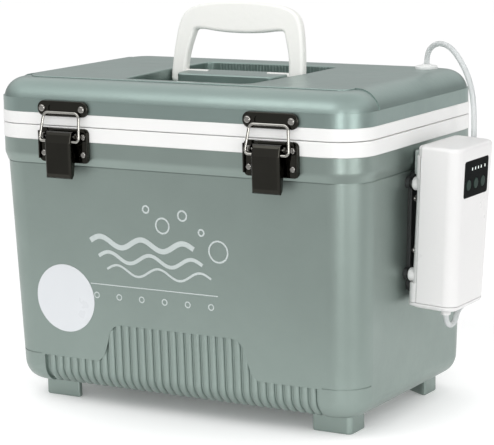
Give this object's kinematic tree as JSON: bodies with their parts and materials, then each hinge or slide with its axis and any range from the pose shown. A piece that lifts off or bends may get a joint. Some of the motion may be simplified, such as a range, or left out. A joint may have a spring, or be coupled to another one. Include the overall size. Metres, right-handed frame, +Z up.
{
  "type": "aerated live-bait cooler",
  "caption": "Insulated live-bait cooler box with a side-mounted air pump, air hose through the lid, folding carry handle, draw latches and rear hinges.",
  "frame": {"origin": "on the ground under the middle of the cooler box, at the plane of its feet", "axes": "+Z up, -Y towards the front with the latches, +X towards the air pump on the right end"},
  "size_m": [0.4104, 0.2513, 0.3473],
  "materials": {
    "shell_green": "pearl satin",
    "band_white": "satin",
    "liner_white": "satin",
    "handle_white": "satin",
    "foam": "rigid foam",
    "nickel": "polished",
    "steel_screw": "polished",
    "pump_white": "gloss",
    "panel_black": "gloss",
    "button_dark": "satin",
    "led_white": "lit",
    "bracket_black": "satin",
    "clip_grey": "satin",
    "board_green": "satin",
    "cell_wrap": "satin",
    "motor_steel": "brushed",
    "seal_black": "matte",
    "gasket_grey": "matte",
    "plug_grey": "matte",
    "hose_clear": "translucent",
    "sticker_white": "gloss",
    "stone_blue": "porous"
  },
  "bodies": {
    "cooler_body": {"body_shell": "shell_green", "body_foam": "foam", "body_liner": "liner_white", "feet": "shell_green", "front_sticker": "sticker_white", "latch_base_left": "nickel", "latch_base_screws_left": "steel_screw", "latch_pin_left": "steel_screw", "hinge_body_leaf_left": "nickel", "hinge_pin_left": "steel_screw", "latch_base_right": "nickel", "latch_base_screws_right": "steel_screw", "latch_pin_right": "steel_screw", "hinge_body_leaf_right": "nickel", "hinge_pin_right": "steel_screw", "hinge_body_screws": "steel_screw", "pump_bracket": "bracket_black", "pump_bracket_screws": "steel_screw", "pump_bracket_clip": "clip_grey", "pump_standoffs": "pump_white", "pump_back_cover": "pump_white", "pump_front_cover": "pump_white", "pump_case_seal": "seal_black", "pump_bottom_cap": "pump_white", "pump_case_screws": "steel_screw", "control_panel_lens": "panel_black", "indicator_lights": "led_white", "control_board": "board_green", "battery_cells": "cell_wrap", "pump_motor": "motor_steel", "pump_head": "plug_grey", "air_outlet_nozzle": "pump_white", "charge_port_plug": "plug_grey", "air_hose_outer": "hose_clear", "air_hose_inner": "hose_clear", "air_stone": "stone_blue"},
    "lid": {"lid_shell": "shell_green", "lid_foam": "foam", "lid_liner": "band_white", "lid_gasket": "gasket_grey", "hose_grommet": "band_white", "lid_air_fitting": "band_white", "latch_keeper_left": "nickel", "latch_keeper_screws_left": "steel_screw", "hinge_lid_leaf_left": "nickel", "latch_keeper_right": "nickel", "latch_keeper_screws_right": "steel_screw", "hinge_lid_leaf_right": "nickel", "hinge_lid_screws": "steel_screw"},
    "handle": {"carry_handle": "handle_white"},
    "lever_left": {"latch_lever_left": "nickel"},
    "bail_left": {"latch_bail_left": "nickel"},
    "lever_right": {"latch_lever_right": "nickel"},
    "bail_right": {"latch_bail_right": "nickel"},
    "key_power": {"button_power": "button_dark"},
    "key_flow": {"button_flow": "button_dark"},
    "key_light": {"button_light": "button_dark"}
  },
  "joints": [
    {"name": "lid_hinge", "type": "hinge", "parent": "cooler_body", "child": "lid", "pos_m": [0, 0.1199, 0.248], "axis": [-1, 0, 0], "range_deg": [0, 95], "deforming": ["air_hose_outer", "air_hose_inner"]},
    {"name": "handle_fold", "type": "hinge", "parent": "lid", "child": "handle", "pos_m": [0, 0.005, 0.2838], "axis": [1, 0, 0], "range_deg": [0, 99]},
    {"name": "latch_lever_left_hinge", "type": "hinge", "parent": "cooler_body", "child": "lever_left", "pos_m": [-0.1015, -0.1222, 0.2403], "axis": [-1, 0, 0], "range_deg": [0, 120]},
    {"name": "latch_bail_left_hinge", "type": "hinge", "parent": "lever_left", "child": "bail_left", "pos_m": [-0.1015, -0.1246, 0.2362], "axis": [-1, 0, 0], "range_deg": [-150, 0]},
    {"name": "latch_lever_right_hinge", "type": "hinge", "parent": "cooler_body", "child": "lever_right", "pos_m": [0.1015, -0.1222, 0.2403], "axis": [-1, 0, 0], "range_deg": [0, 120]},
    {"name": "latch_bail_right_hinge", "type": "hinge", "parent": "lever_right", "child": "bail_right", "pos_m": [0.1015, -0.1246, 0.2362], "axis": [-1, 0, 0], "range_deg": [-150, 0]},
    {"name": "button_power_press", "type": "slide", "parent": "cooler_body", "child": "key_power", "axis": [-0.9983, 0, 0.0579], "range_m": [0, 0.0006], "stiffness_N_per_m": 400},
    {"name": "button_flow_press", "type": "slide", "parent": "cooler_body", "child": "key_flow", "axis": [-0.9983, 0, 0.0579], "range_m": [0, 0.0006], "stiffness_N_per_m": 400},
    {"name": "button_light_press", "type": "slide", "parent": "cooler_body", "child": "key_light", "axis": [-0.9983, 0, 0.0579], "range_m": [0, 0.0006], "stiffness_N_per_m": 400}
  ],
  "couplings": [
    {"joint": "latch_bail_left_hinge", "follows": "latch_lever_left_hinge", "ratio": -1.25},
    {"joint": "latch_bail_right_hinge", "follows": "latch_lever_right_hinge", "ratio": -1.25}
  ]
}
